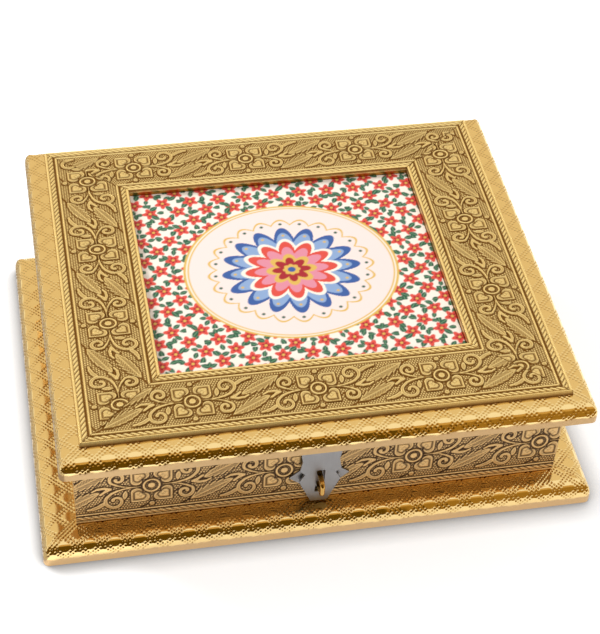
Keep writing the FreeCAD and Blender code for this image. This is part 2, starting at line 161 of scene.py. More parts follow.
class Side(Enum):
    """The four sides of the box. Each value is (along, inward) as seen from above, running anticlockwise."""

    FRONT = ((1, 0), (0, 1))
    RIGHT = ((0, 1), (-1, 0))
    BACK = ((-1, 0), (0, -1))
    LEFT = ((0, -1), (1, 0))

    @property
    def label(self) -> str:
        """The side's name as the CAD nodes spell it."""
        return self.name.lower()

    def spans(self, low: Array, high: Array) -> tuple[float, float]:
        """Gives the run along this side and the reach across it of a rectangle.

        Args:
            low: lowest corner.
            high: highest corner.

        Returns:
            The length along the side and the depth from it to the far side.
        """
        size = (high - low)[:2]
        return (size[0], size[1]) if self in (Side.FRONT, Side.BACK) else (size[1], size[0])

    def place(self, low: Array, high: Array, along: Array, depth: Array, height: Array) -> Array:
        """Puts strip coordinates into the box's frame.

        Args:
            low: lowest corner of the rectangle that the side bounds.
            high: its highest corner.
            along: distance along the side from its start.
            depth: distance inward from the side.
            height: height above the floor.

        Returns:
            Points in millimetres, with x, y and z on the last axis.
        """
        run, reach = self.spans(low, high)
        middle = (low + high) / 2
        (ax, ay), (bx, by) = self.value
        u, v = along - run / 2, depth - reach / 2
        x, y = middle[0] + ax * u + bx * v, middle[1] + ay * u + by * v
        return np.stack([x, y, height + 0 * u], axis=-1)


def border_mm(stem: str) -> tuple[Array, Array]:
    """Outer corners, in millimetres, of the four CAD nodes that go round the box under one stem."""
    boxes = np.array([box_mm(f"{stem}_{side.label}") for side in Side])
    return boxes[:, 0].min(axis=0), boxes[:, 1].max(axis=0)


# Finishes


def bare_tree(owner: Material | bpy.types.World) -> Tree:
    """Empties the node tree of a material or of the world.

    Args:
        owner: the material or the world.

    Returns:
        Its node tree, without nodes.
    """
    owner.use_nodes = True
    owner.node_tree.nodes.clear()
    return owner.node_tree


def add_node(tree: Tree, kind: str, inputs: Inputs, output: str = "", **settings: object) -> Socket | None:
    """Adds one shader node with its settings, values and links.

    Args:
        tree: the node tree.
        kind: Blender's name for the node, after its ShaderNode prefix.
        inputs: values or output sockets by input name or number.
        output: name of the output to give, or empty for the first that is switched on.
        settings: the node's own properties.

    Returns:
        The output, or None for a node that ends the tree.
    """
    node = tree.nodes.new(f"ShaderNode{kind}")
    for key, value in settings.items():
        setattr(node, key, value)
    for key, value in inputs.items():
        if isinstance(value, Socket):
            tree.links.new(value, node.inputs[key])
        else:
            node.inputs[key].default_value = value
    return node.outputs[output] if output else next((out for out in node.outputs if out.enabled), None)


def per_mm(size: float) -> float:
    """Texture scale on Object coordinates for a pattern of that size in millimetres."""
    return 1 / (size * MM)


class Finish:
    """A surface finish. Each kind writes its own nodes and is made once per name."""

    def material(self) -> Material:
        """Makes the finish's material the first time it is asked for.

        Returns:
            The material.
        """
        found = bpy.data.materials.get(self.name)
        if found:
            return found
        made = bpy.data.materials.new(self.name)
        tree = bare_tree(made)
        add_node(tree, "OutputMaterial", {"Surface": self.shader(tree)})
        return made

    def shader(self, tree: Tree) -> Socket:
        """Writes the finish's nodes and gives the shader's output."""
        raise NotImplementedError


@dataclass(frozen=True)
class AntiqueFoil(Finish):
    """Hot-stamped gold foil on paper, embossed by a roller and rubbed with brown.

    The raised parts are worn to soft tan gold. The brown stays in the recesses, so the pattern reads dark on
    light. The tone also carries painted shade, along the relief's outlines and at the foot of the lid's
    frame.
    """

    name: str
    raised: str
    recess: str
    roughness: float = 0.25
    metallic: float = 0.6
    wear_mm: float = 9.0
    wear: float = 0.10
    dulled: float = 0.2
    fibre_mm: float = 0.5
    fibre_depth: float = 0.02

    def shader(self, tree: Tree) -> Socket:
        """Mixes the recess and raised colours by the tone attribute, with faint cloudy wear.

        Args:
            tree: the material's node tree.

        Returns:
            The shader's output.
        """
        place = add_node(tree, "TexCoord", {}, "Object")
        tone = add_node(tree, "Attribute", {}, "Fac", attribute_name="tone")
        cloud = add_node(tree, "TexNoise", {"Vector": place, "Scale": per_mm(self.wear_mm), "Detail": 3.0})
        wear = add_node(tree, "MapRange", {"Value": cloud, "To Min": -self.wear, "To Max": self.wear})
        shown = add_node(tree, "Math", {0: tone, 1: wear}, operation="ADD", use_clamp=True)
        tones = {0: shown, 6: linear(self.recess), 7: linear(self.raised)}
        rough = {"Value": shown, "To Min": self.roughness + self.dulled, "To Max": self.roughness}
        # The paper's fibres are finer than the render shows, so they are drawn at half a millimetre.
        fibre = add_node(tree, "TexNoise", {"Vector": place, "Scale": per_mm(self.fibre_mm), "Detail": 2.0})
        tooth = {"Height": fibre, "Distance": self.fibre_depth * MM, "Strength": 0.5}
        return add_node(tree, "BsdfPrincipled", {
            "Base Color": add_node(tree, "Mix", tones, data_type="RGBA"), "Metallic": self.metallic,
            "Roughness": add_node(tree, "MapRange", rough), "Normal": add_node(tree, "Bump", tooth)})


@dataclass(frozen=True)
class LizardFoil(Finish):
    """Bright gold foil embossed with a lizard-skin grain; the upright band is a satin foil of its own.

    Smooth scales mirror the room, so they go from pale yellow to brown. The pits between them sparkle, and
    their darker colour is painted shade. The satin band stays an even tan.
    """

    name: str
    bright: str
    pit: str
    satin: str
    roughness: float = 0.11
    satin_roughness: float = 0.42
    cloud_mm: float = 6.0
    wave_mm: float = 5.0
    wave_depth: float = 0.05

    def shader(self, tree: Tree) -> Socket:
        """Mixes the scale colour and the pits' painted shade colour by the pit attribute, and satin below the
        foil's edge.

        Args:
            tree: the material's node tree.

        Returns:
            The shader's output.
        """
        place = add_node(tree, "TexCoord", {}, "Object")
        pit = add_node(tree, "Attribute", {}, "Fac", attribute_name="pit")
        satin = add_node(tree, "Attribute", {}, "Fac", attribute_name="satin")
        # The pit colour is painted shade in the pits.
        scales = {0: pit, 6: linear(self.bright), 7: linear(self.pit)}
        grained = add_node(tree, "Mix", scales, data_type="RGBA")
        colour = add_node(tree, "Mix", {0: satin, 6: grained, 7: linear(self.satin)}, data_type="RGBA")
        cloud = add_node(tree, "TexNoise", {"Vector": place, "Scale": per_mm(self.cloud_mm), "Detail": 3.0})
        shine = {"Value": cloud, "To Min": self.roughness - 0.04, "To Max": self.roughness + 0.05}
        rough = {0: satin, 2: add_node(tree, "MapRange", shine), 3: self.satin_roughness}
        # Waviness of foil glued over fibreboard, a few millimetres from crest to crest.
        crests = add_node(tree, "TexNoise", {"Vector": place, "Scale": per_mm(self.wave_mm), "Detail": 2.0})
        waves = {"Height": crests, "Distance": self.wave_depth * MM, "Strength": 0.25}
        return add_node(tree, "BsdfPrincipled", {
            "Base Color": colour, "Metallic": 1.0, "Roughness": add_node(tree, "Mix", rough),
            "Normal": add_node(tree, "Bump", waves)})


@dataclass(frozen=True)
class PlatedMetal(Finish):
    """Stamped sheet or drawn wire with a thin plating: an even colour, fine drawn lines and a soft shine."""

    name: str
    light: str
    dark: str
    roughness: float
    line_mm: float = 0.6
    line_stretch: float = 0.08
    line_depth: float = 0.01
    cloud_mm: float = 5.0

    def shader(self, tree: Tree) -> Socket:
        """Mixes two close tones by stretched noise, and varies the roughness by cloudy noise.

        Args:
            tree: the material's node tree.

        Returns:
            The shader's output.
        """
        place = add_node(tree, "TexCoord", {}, "Object")
        drawn = add_node(tree, "Mapping", {"Vector": place, "Scale": (1.0, 1.0, self.line_stretch)})
        lines = add_node(tree, "TexNoise", {"Vector": drawn, "Scale": per_mm(self.line_mm), "Detail": 3.0})
        tones = {0: lines, 6: linear(self.dark), 7: linear(self.light)}
        cloud = add_node(tree, "TexNoise", {"Vector": place, "Scale": per_mm(self.cloud_mm), "Detail": 2.0})
        rough = {"Value": cloud, "To Min": self.roughness - 0.06, "To Max": self.roughness + 0.08}
        ridges = {"Height": lines, "Distance": self.line_depth * MM, "Strength": 0.4}
        return add_node(tree, "BsdfPrincipled", {
            "Base Color": add_node(tree, "Mix", tones, data_type="RGBA"), "Metallic": 1.0,
            "Roughness": add_node(tree, "MapRange", rough), "Normal": add_node(tree, "Bump", ridges)})


@dataclass(frozen=True)
class FlockedPaper(Finish):
    """Flocked paper: short fibres glued on paper, which drink the light and glow at a glancing angle."""

    name: str
    light: str
    dark: str
    sheen: float
    nap_mm: float = 7.0
    fibre_mm: float = 0.7
    fibre_depth: float = 0.15

    def shader(self, tree: Tree) -> Socket:
        """Mixes brushed and shaded nap by cloudy noise, with sheen.

        Args:
            tree: the material's node tree.

        Returns:
            The shader's output.
        """
        place = add_node(tree, "TexCoord", {}, "Object")
        nap = add_node(tree, "TexNoise", {"Vector": place, "Scale": per_mm(self.nap_mm), "Detail": 4.0})
        tones = {0: nap, 6: linear(self.dark), 7: linear(self.light)}
        # Fibres a few hundredths of a millimetre thick, drawn at 0.7 mm so that the nap shows.
        fibre = add_node(tree, "TexNoise", {"Vector": place, "Scale": per_mm(self.fibre_mm), "Detail": 3.0})
        pile = {"Height": fibre, "Distance": self.fibre_depth * MM, "Strength": 0.6}
        return add_node(tree, "BsdfPrincipled", {
            "Base Color": add_node(tree, "Mix", tones, data_type="RGBA"), "Roughness": 0.9,
            "Sheen Weight": self.sheen, "Sheen Tint": linear(self.light),
            "Normal": add_node(tree, "Bump", pile)})


@dataclass(frozen=True)
class Fibreboard(Finish):
    """Raw pressed fibreboard: fine brown fibre, matt and slightly mottled."""

    name: str
    light: str
    dark: str
    fibre_mm: float = 1.2
    fibre_depth: float = 0.08

    def shader(self, tree: Tree) -> Socket:
        """Mixes two browns by fine noise, which also roughens the surface.

        Args:
            tree: the material's node tree.

        Returns:
            The shader's output.
        """
        place = add_node(tree, "TexCoord", {}, "Object")
        fibre = add_node(tree, "TexNoise", {"Vector": place, "Scale": per_mm(self.fibre_mm), "Detail": 5.0})
        tones = {0: fibre, 6: linear(self.dark), 7: linear(self.light)}
        ridges = {"Height": fibre, "Distance": self.fibre_depth * MM, "Strength": 0.4}
        return add_node(tree, "BsdfPrincipled", {
            "Base Color": add_node(tree, "Mix", tones, data_type="RGBA"), "Roughness": 0.85,
            "Normal": add_node(tree, "Bump", ridges)})


@dataclass(frozen=True)
class MattPrint(Finish):
    """Offset print under a matt film: flat inks with a faint tooth and almost no shine."""

    name: str
    tooth_mm: float = 0.8
    tooth_depth: float = 0.02

    def shader(self, tree: Tree) -> Socket:
        """Takes the inks from the ink attribute, under a matt film.

        Args:
            tree: the material's node tree.

        Returns:
            The shader's output.
        """
        place = add_node(tree, "TexCoord", {}, "Object")
        # Film tooth is far finer than a pixel, so it is drawn at 0.8 mm.
        film = add_node(tree, "TexNoise", {"Vector": place, "Scale": per_mm(self.tooth_mm), "Detail": 2.0})
        tooth = {"Height": film, "Distance": self.tooth_depth * MM, "Strength": 0.3}
        return add_node(tree, "BsdfPrincipled", {
            "Base Color": add_node(tree, "Attribute", {}, "Color", attribute_name="ink"), "Roughness": 0.62,
            "Specular IOR Level": 0.3, "Normal": add_node(tree, "Bump", tooth)})


LID_FOIL = AntiqueFoil("antique_gold_foil_roller_embossed_lid", "FFE094", "784C04")
# The walls' foil is a darker copy of the lid's foil; the extra darkness is painted shade.
SHADED_WALL_FOIL = AntiqueFoil("antique_gold_foil_roller_embossed_wall", "F8CC88", "3C2202")
# Its second colour, for the pits, is painted shade.
EDGE_FOIL = LizardFoil("bright_gold_foil_lizard_embossed", "FADB98", "B98A3A", "D2B080")
PLAIN_FOIL = PlatedMetal("plain_gold_foil_wrapped_edge", "CF9C50", "B07C34", 0.3, 2.5)
BRASS = PlatedMetal("brassed_steel_stamped", "D2AC62", "A9813C", 0.32)
WIRE = PlatedMetal("brass_wire_drawn", "E0B96C", "B98C42", 0.2)
STEEL = PlatedMetal("zinc_plated_steel_stamped", "A4A4A6", "9C9C9E", 0.45)
VELVET = FlockedPaper("maroon_flocked_paper", "7A1A28", "4E0C18", 0.6)
FELT = FlockedPaper("black_felt_paper", "2A2A2B", "171717", 0.2)
BOARD = Fibreboard("raw_fibreboard_pressed", "A98459", "87653F")
PRINT = MattPrint("offset_print_matt_film")


def dress(piece: Piece, finish: Finish, body: str, node: str) -> Piece:
    """Gives a piece its finish and says where it belongs.

    Args:
        piece: the piece.
        finish: its finish.
        body: the body that it rides on.
        node: the CAD node that it stands for.

    Returns:
        The same piece.
    """
    piece.data.materials.append(finish.material())
    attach(piece, body)
    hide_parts(node)
    return piece


# Embossing


@dataclass
class FloralDie:
    """One repeat of the embossing roller: a four-petalled flower, scrolls and leaves on a beaded ground.

    The pattern looks the same after half a turn, so each shape is drawn once and evaluated at p and at -p.
    The tile keeps two numbers for each grid point: the height, and the tone left by the rubbed-in brown and
    by painted shade along the outlines.
    Petal and heart are given by reach, lobe radius and inner edge, the dot by place and radius, and the bud
    by place, turn, half length and half width.
    """

    pitch: float = 59.2
    band: float = 26.4
    grid: float = 0.12
    bead_pitch: float = 1.3
    bead_radius: float = 0.55
    bead_height: float = 0.42
    outline: float = 0.3
    ring: tuple[float, float] = (3.5, 1.75)
    petal: tuple[float, float, float] = (9.4, 2.7, 3.4)
    heart: tuple[float, float, float] = (7.5, 1.45, 4.5)
    leaf_middle: tuple[float, float] = (32.45, 6.1)
    leaf_slant: float = 26.9
    leaf_half: tuple[float, float] = (10.8, 2.7)
    dot: tuple[float, float] = (10.9, 1.35)
    bud: tuple[float, float, float, float, float] = (11.8, 4.3, 1.45, 2.9, 1.3)
    tile: Array = field(init=False)

    def __post_init__(self) -> None:
        """Cuts the die: the highest of all shapes, with beads wherever no shape comes near."""
        count_s, count_t = round(self.pitch / self.grid), round(self.band / self.grid)
        s = np.arange(count_s)[:, None] * (self.pitch / count_s) + np.zeros((1, count_t))
        t = np.linspace(-self.band / 2, self.band / 2, count_t)[None, :] + 0 * s
        inside, height = np.full(s.shape, -9.0), np.zeros(s.shape)
        for shift in (-self.pitch, 0.0, self.pitch):
            for turn in (1, -1):
                for depth, rise in self.half_repeat(turn * (s + shift), turn * t):
                    inside, height = np.maximum(inside, depth), np.maximum(height, rise)
        beads = self.beads(s, t) * ease(-inside, 0.25, 0.65)
        tone = self.rubbed_and_shaded(inside, height, beads)
        self.tile = np.stack([np.maximum(height, self.bead_height * beads), tone], axis=-1)

    def rubbed_and_shaded(self, inside: Array, height: Array, beads: Array) -> Array:
        """Tone that the brown and painted shade leave: bright on the lips of shapes and on beads, and dark
        along the outlines, where the dark is partly brown and partly painted shade in the crease.

        A shape's tone follows its height and drops behind the lip. A bead's follows the square of its height.

        Args:
            inside: depth inside the nearest shape, negative outside it.
            height: height of the shapes from 0 to 1.
            beads: height of the beads from 0 to 1.

        Returns:
            0 where the brown and painted shade stay, 1 or a little more where the gold is bare.
        """
        shapes = height ** 1.3 * (1.15 - 0.35 * ease(inside, 0.45, 0.9))
        tone = np.where(inside > 0, shapes, 1.15 * beads ** 2)
        # Dark contour at each shape's edge: brown in the crease plus painted crease shade.
        return tone * (1 - 0.95 * np.exp(-(inside / self.outline) ** 2))

    def beads(self, s: Array, t: Array) -> Array:
        """Ground of small round beads: a dome at each point of a staggered lattice.

        Args:
            s: distance along the roller.
            t: distance across it.

        Returns:
            Height from 0 to 1.
        """
        row = self.bead_pitch * math.sqrt(3) / 2
        line = np.round(t / row)
        step = self.pitch / round(self.pitch / self.bead_pitch)
        u = (s / step + 0.5 * (line % 2) + 0.5) % 1 - 0.5
        return swell(self.bead_radius - np.hypot(u * step, t - line * row), self.bead_radius)

    def half_repeat(self, s: Array, t: Array) -> list[tuple[Array, Array]]:
        """Half of the motif, on the side where s is positive.

        Args:
            s: distance along the roller from the flower's middle.
            t: distance across it.

        Returns:
            For each shape, the depth inside it in millimetres and its height from 0 to 1.
        """
        shapes = [self.flower(s, t), self.leaf(s, t)]
        for points, widths in self.strokes():
            depth = self.stroke(s, t, points, widths)
            shapes.append((depth, lipped(depth, 0.5)))
        dot = self.dot[1] - np.hypot(s, t - self.dot[0])
        bud = self.almond(s - self.bud[0], t - self.bud[1], *self.bud[2:])
        return shapes + [(depth, lipped(depth, 0.55)) for depth in (dot, bud)]

    def heart_shape(self, x: Array, y: Array, size: tuple[float, float, float]) -> Array:
        """Heart that points to the corner (reach, reach): two round lobes and a square corner.

        Args:
            x: distance from the flower's middle along the roller, on either side.
            y: the same across it.
            size: reach, lobe radius and inner edge.

        Returns:
            The depth inside it in millimetres, negative outside.
        """
        reach, lobe, near = size
        far = reach - lobe
        lobes = lobe - np.minimum(np.hypot(x - far, y - near), np.hypot(x - near, y - far))
        corner = np.minimum(np.minimum(reach - np.maximum(x, y), np.minimum(x, y) - near), x + y - far - near)
        return np.maximum(lobes, corner)

    def flower(self, s: Array, t: Array) -> tuple[Array, Array]:
        """Ring and boss round the middle, and heart-in-heart petals on the diagonals, parted by a groove.

        Args:
            s: distance along the roller from the flower's middle.
            t: distance across it.

        Returns:
            The depth inside it in millimetres and its height from 0 to 1.
        """
        x, y, radius = np.abs(s), np.abs(t), np.hypot(s, t)
        middle, boss = self.ring
        inside = np.maximum(0.65 - np.abs(radius - middle), boss - radius)
        height = 0.97 * swell(inside, 0.6)
        petal, heart = self.heart_shape(x, y, self.petal), self.heart_shape(x, y, self.heart)
        groove = np.exp(-((heart + 0.35) / 0.36) ** 2)
        height = np.maximum(height, lipped(petal, 0.6) * (1 - 0.92 * groove))
        return np.maximum(inside, petal), height

    def leaf(self, s: Array, t: Array) -> tuple[Array, Array]:
        """Slanted feather leaf between two flowers, saw-toothed on one side, with rim, veins and midrib.

        The half width is (1 - a^2)^0.75 of the widest, with a running from -1 to 1 along the leaf.

        Args:
            s: distance along the roller from the flower's middle.
            t: distance across it.

        Returns:
            The depth inside it in millimetres and its height from 0 to 1.
        """
        slant, (half, wide) = math.radians(self.leaf_slant), self.leaf_half
        ds, dt = s - self.leaf_middle[0], t - self.leaf_middle[1]
        a, b = ds * math.cos(slant) + dt * math.sin(slant), dt * math.cos(slant) - ds * math.sin(slant)
        teeth = np.where(b < 0, 1.3, 0.5) * (1 - (a / 3.4) % 1)
        away = np.abs(b)
        inside = (wide + teeth) * np.clip(1 - (a / half) ** 2, 0, 1) ** 0.75 - away
        veins = 0.5 + 0.5 * np.cos(2 * math.pi * (a - 1.1 * away) / 1.5)
        body = swell(inside, 0.7) * (0.35 + 0.4 * veins)
        rib = swell(0.5 - away, 0.45) * (np.abs(a) < 0.9 * half)
        rim = np.exp(-((inside - 0.55) / 0.45) ** 2) * (inside > 0)
        return inside, np.maximum(body, 0.95 * np.maximum(rib, rim))

    def almond(self, s: Array, t: Array, turn: float, half: float, wide: float) -> Array:
        """Pointed leaf whose half width is a parabola along its length.

        Args:
            s: distance along the roller from the leaf's middle.
            t: distance across it.
            turn: the leaf's direction in radians.
            half: half its length.
            wide: half its width.

        Returns:
            The depth inside it in millimetres.
        """
        a = s * math.cos(turn) + t * math.sin(turn)
        b = -s * math.sin(turn) + t * math.cos(turn)
        return wide * (1 - (a / half) ** 2) - np.abs(b)

    def strokes(self) -> list[tuple[Array, Array]]:
        """Lines of the scrolls: two hooks that leave the flower and wind inward, a forked tail and a comma.

        A hook's radius is R (1 - 0.77 w^1.6), with w running from 0 to 1 as it winds.

        Returns:
            For each line, its points and its half widths.
        """
        lines = [
            (np.array([(18.2, -0.2), (20.4, 0.9), (22.6, 2.6)]), np.array([0.9, 0.8, 0.5])),
            (np.array([(18.2, -0.2), (21.0, -1.1), (24.0, -0.9), (26.2, 0.3)]),
             np.array([0.9, 0.85, 0.65, 0.35])),
            (np.array([(21.8, 8.6), (23.6, 9.9), (26.0, 10.8), (28.4, 11.2)]),
             np.array([1.2, 1.1, 0.8, 0.4])),
        ]
        wind = np.linspace(0, 1, 26)
        for centre, radius, way, first, lead in (
            ((16.3, 7.3), 4.4, 1, -45, [(5.0, 0.0), (9.0, 0.1), (12.2, 0.5), (15.2, 1.3), (17.7, 2.5)]),
            ((15.0, -5.6), 3.5, -1, -35, [(9.0, -0.1), (12.2, -0.7), (15.2, -1.9)]),
        ):
            angle = way * np.radians(first + wind * 375)
            reach = radius * (1 - 0.77 * wind ** 1.6)
            curl = np.stack([centre[0] + reach * np.cos(angle), centre[1] + reach * np.sin(angle)], axis=-1)
            points = np.concatenate([np.array(lead), curl])
            places = [0, 3, 8, len(points) - 4, len(points)]
            lines.append((points, np.interp(np.arange(len(points)), places, [0.4, 0.8, 1.05, 0.8, 1.2])))
        return lines

    def stroke(self, s: Array, t: Array, points: Array, widths: Array) -> Array:
        """Line of changing width: the depth is the half width less the distance to the nearest stretch.

        Args:
            s: distance along the roller.
            t: distance across it.
            points: the line's points.
            widths: its half width at each of them.

        Returns:
            The depth inside it in millimetres.
        """
        depth = np.full(s.shape, -9.0)
        for (s0, t0), (s1, t1), wide in zip(points[:-1], points[1:], widths):
            ds, dt = s1 - s0, t1 - t0
            share = np.clip(((s - s0) * ds + (t - t0) * dt) / (ds * ds + dt * dt), 0, 1)
            depth = np.maximum(depth, wide - np.hypot(s - s0 - share * ds, t - t0 - share * dt))
        return depth

    def stamp(self, along: Array, across: Array) -> tuple[Array, Array]:
        """Reads the die between its grid points.

        Args:
            along: distance along the roller, which repeats.
            across: distance from the middle of the band.

        Returns:
            Height and tone from 0 to 1; beyond the band they are 0.
        """
        count_s, count_t = self.tile.shape[:2]
        u = (along / self.pitch % 1) * count_s
        v = np.clip((across / self.band + 0.5) * (count_t - 1), 0, count_t - 1.001)
        i, j = np.floor(u).astype(int), np.floor(v).astype(int)
        fu, fv = (u - i)[..., None], (v - j)[..., None]
        i, i1 = i % count_s, (i + 1) % count_s
        low = self.tile[i, j] * (1 - fv) + self.tile[i, j + 1] * fv
        high = self.tile[i1, j] * (1 - fv) + self.tile[i1, j + 1] * fv
        read = (low * (1 - fu) + high * fu) * (np.abs(across) <= self.band / 2)[..., None]
        return read[..., 0], read[..., 1]


@dataclass
class EdgeRuns:
    """Lines along both edges of an embossed strip, each given by its middle's place and its half width."""

    bead: tuple[float, float] = (0.8, 0.8)
    rope: tuple[float, float] = (3.0, 1.3)
    fillet: tuple[float, float] = (5.8, 0.6)
    strands: int = 18
    width: float = 6.4

    def half_round(self, away: Array, run: tuple[float, float]) -> Array:
        """Half-round section of a run: a semicircle over its middle."""
        return np.sqrt(np.clip(1 - ((away - run[0]) / run[1]) ** 2, 0, 1))

    def height(self, away: Array, repeats: Array) -> Array:
        """Highest of the bead, the rope and the fillet.

        The rope is a half round cut by slanted grooves, one for each strand.

        Args:
            away: distance from the strip's edge.
            repeats: distance along the strip, counted in repeats of the roller.

        Returns:
            Relief from 0 to 1.
        """
        lean = (away - self.rope[0]) / self.rope[1]
        strand = np.abs(np.sin(math.pi * (repeats * self.strands + 0.6 * lean)))
        rope = np.sqrt(self.half_round(away, self.rope)) * strand
        bead = self.half_round(away, self.bead)
        return np.maximum(np.maximum(bead, rope), 0.85 * self.half_round(away, self.fillet))


@dataclass
class LidFrame:
    """Raised picture frame on the lid: four mitred strips of embossed antique foil."""

    die: FloralDie
    runs: EdgeRuns
    relief: float = 0.85
    seam: float = 0.35
    border_share: float = 0.155
    edge_round: float = 0.7
    # Width of the painted shade at the frame's foot, where it meets the lid.
    foot_shade: float = 0.3
    foot_tone: float = 0.8
    steps: dict[Side, float] = field(default_factory=lambda: {
        Side.FRONT: 0.31, Side.RIGHT: 0.31, Side.BACK: 0.33, Side.LEFT: 0.31})
    repeats: dict[Side, tuple[float, float]] = field(default_factory=lambda: {
        Side.FRONT: (59.5, 113.6), Side.RIGHT: (53.4, 126.3),
        Side.BACK: (60.4, 126.6), Side.LEFT: (53.2, 79.4)})

    def plan(self, side: Side, run: float, widths: dict[Side, float]) -> tuple[Array, Array, Array]:
        """Lays a grid over a strip's mitred plan.

        Args:
            side: which side.
            run: length of the frame along it.
            widths: width of the strip on each side.

        Returns:
            Distance along the side, distance inward from it, and distance from the nearer mitre.
        """
        order = list(Side)
        place = order.index(side)
        before, after = widths[order[place - 1]], widths[order[(place + 1) % 4]]
        width, step = widths[side], self.steps[side]
        depth = np.linspace(0, width, round(width / step) + 1)[None, :]
        share = np.linspace(0, 1, round(run / step) + 1)[:, None]
        start, end = depth * before / width, run - depth * after / width
        along = start + share * (end - start)
        return along, depth + 0 * along, np.minimum(along - start, end - along)

    def strip(self, side: Side, low: Array, high: Array, widths: dict[Side, float]) -> Piece:
        """Builds one strip: the relief over a mitred plan, with plain edges and underside.

        The height is the ground plus the larger of the edge runs and the stamped band. The outer edge is
        rolled down to the foot in a quarter of an ellipse. It is bright, and painted shade darkens it at the
        very foot.

        Args:
            side: which side.
            low: lowest corner of the whole frame.
            high: its highest corner.
            widths: width of the strip on each side.

        Returns:
            The strip's object.
        """
        width, (run, _) = widths[side], side.spans(low, high)
        along, depth, mitre = self.plan(side, run, widths)
        border = self.border_share * width
        pitch, first = self.repeats[side]
        repeats = (along - first) / pitch
        across = (depth - width / 2) * self.die.band / (width - 2 * border)
        stamped, tone = self.die.stamp(repeats * self.die.pitch, across)
        away = np.minimum(depth, width - depth) * self.runs.width / border
        edges = self.runs.height(away, np.where(depth < width / 2, repeats, -repeats))
        closed = ease(mitre, 0, self.seam)
        top = high[2] - self.relief * (1 - np.maximum(stamped, edges) * closed)
        top = np.minimum(top, low[2] + (high[2] - low[2]) * swell(depth, self.edge_round))
        tone = np.maximum(np.maximum(tone, 1.2 * edges), 1 - ease(depth, 0.5, 1.0)) * closed
        # Painted shade: the tone darkens towards the frame's foot.
        tone = tone * ease(depth, 0, self.foot_shade)
        points = side.place(low, high, with_ends(along), with_ends(depth), with_ends(top, low[2]))
        return grid_piece(f"lid_frame_strip_{side.label}", points, {"tone": with_ends(tone, self.foot_tone)})

    def build(self) -> list[Piece]:
        """Builds and dresses the four strips, which stand for the plain CAD strips.

        Returns:
            The strips' objects.
        """
        low, high = border_mm("lid_frame")
        nodes = {side: f"lid_frame_{side.label}" for side in Side}
        widths = {side: min(np.subtract(*box_mm(node)[::-1])[:2]) for side, node in nodes.items()}
        return [dress(self.strip(side, low, high, widths), LID_FOIL, "lid", node)
                for side, node in nodes.items()]


@dataclass
class WallFoil:
    """Embossed foil on the four walls, with the band's lower edge just above the plinth."""

    die: FloralDie
    runs: EdgeRuns
    border: float = 6.6
    band: float = 32.6
    relief: float = 0.44
    pitch: float = 64.4
    steps: dict[Side, float] = field(default_factory=lambda: {
        Side.FRONT: 0.40, Side.RIGHT: 0.55, Side.BACK: 0.55, Side.LEFT: 0.55})
    first: dict[Side, float] = field(default_factory=lambda: {
        Side.FRONT: 36.8, Side.RIGHT: 28.0, Side.BACK: 24.0, Side.LEFT: 28.0})

    def panel(self, side: Side) -> Piece:
        """Builds one wall's foil: the relief in front, a flat back against the board.

        The height is the larger of the edge runs, the stamped band and, above it, a narrow beaded band.

        Args:
            side: which wall.

        Returns:
            The panel's object.
        """
        low, high = box_mm(f"wall_foil_{side.label}")
        run, thick = side.spans(low, high)
        step, rise = self.steps[side], high[2] - low[2]
        up = np.linspace(0, rise, round(rise / step) + 1)[None, :]
        along = np.linspace(0, run, round(run / step) + 1)[:, None] + 0 * up
        up = up + 0 * along
        scale = self.band / self.die.band
        across = (up - self.border - self.band / 2) / scale
        repeats = (along - self.first[side]) / self.pitch
        stamped, tone = self.die.stamp(repeats * self.die.pitch, across)
        upper = 2 * self.border + self.band
        edges = np.maximum(self.runs.height(up, repeats), self.runs.height(upper - up, -repeats))
        edges = np.maximum(edges, self.runs.height(rise - up, repeats))
        beads = self.die.beads(along, up) * (up > upper)
        depth = self.relief * (1 - np.maximum(np.maximum(stamped, edges), 0.45 * beads))
        tone = np.maximum(np.maximum(tone, 1.2 * edges), 0.8 * beads)
        back = np.full((along.shape[0], 1), thick)
        along = np.concatenate([along, along[:, :1], along[:, :1]], axis=1)
        depth = np.concatenate([depth, back, back], axis=1)
        height = np.concatenate([up, 0 * back + rise, 0 * back], axis=1) + low[2]
        tone = np.concatenate([tone, 0 * back, 0 * back], axis=1)
        points = side.place(low, high, along, depth, height)
        return grid_piece(f"wall_relief_{side.label}", points, {"tone": tone})

    def build(self) -> list[Piece]:
        """Builds and dresses the four panels."""
        return [dress(self.panel(side), SHADED_WALL_FOIL, "base", f"wall_foil_{side.label}")
                for side in Side]


@dataclass
class LizardGrain:
    """Lizard-skin grain: diagonal rows of pits that cross and leave smooth lozenges between them."""

    repeat: float = 12.0
    pits_per_scale: int = 5
    rows: int = 2
    pit_radius: float = 0.46
    depth: float = 0.46
    pillow: float = 0.14

    @property
    def step(self) -> float:
        """A third of the distance between pits along the moulding, so a grid of this step meets every pit."""
        return self.repeat / (6 * self.pits_per_scale)

    def pits(self, along: Array, over: Array) -> tuple[Array, Array]:
        """Works out the grain on the unrolled surface.

        The surface is turned by 45 degrees into a lattice of pits. A pit is kept where its row or column is
        one of the few along a scale's edge, and the scale between is a low pillow.

        Args:
            along: distance along the moulding.
            over: distance round its profile.

        Returns:
            How pitted each point is, from 0 to 1, and its height in millimetres, at most 0.
        """
        scale = self.repeat / math.sqrt(2)
        cell = scale / self.pits_per_scale
        u, v = (along + over) / math.sqrt(2), (along - over) / math.sqrt(2)
        i, j = np.round(u / cell), np.round(v / cell)
        row, column = np.mod(i + 1, self.pits_per_scale), np.mod(j + 1, self.pits_per_scale)
        kept = (row < self.rows) | (column < self.rows)
        away = np.hypot(u - i * cell, v - j * cell)
        pit = np.exp(-(away / self.pit_radius) ** 2) * kept
        crown = np.abs(np.sin(math.pi * (u / scale - 0.5 / self.pits_per_scale)))
        crown = crown * np.abs(np.sin(math.pi * (v / scale - 0.5 / self.pits_per_scale)))
        return pit, -self.depth * pit - self.pillow * (1 - crown)


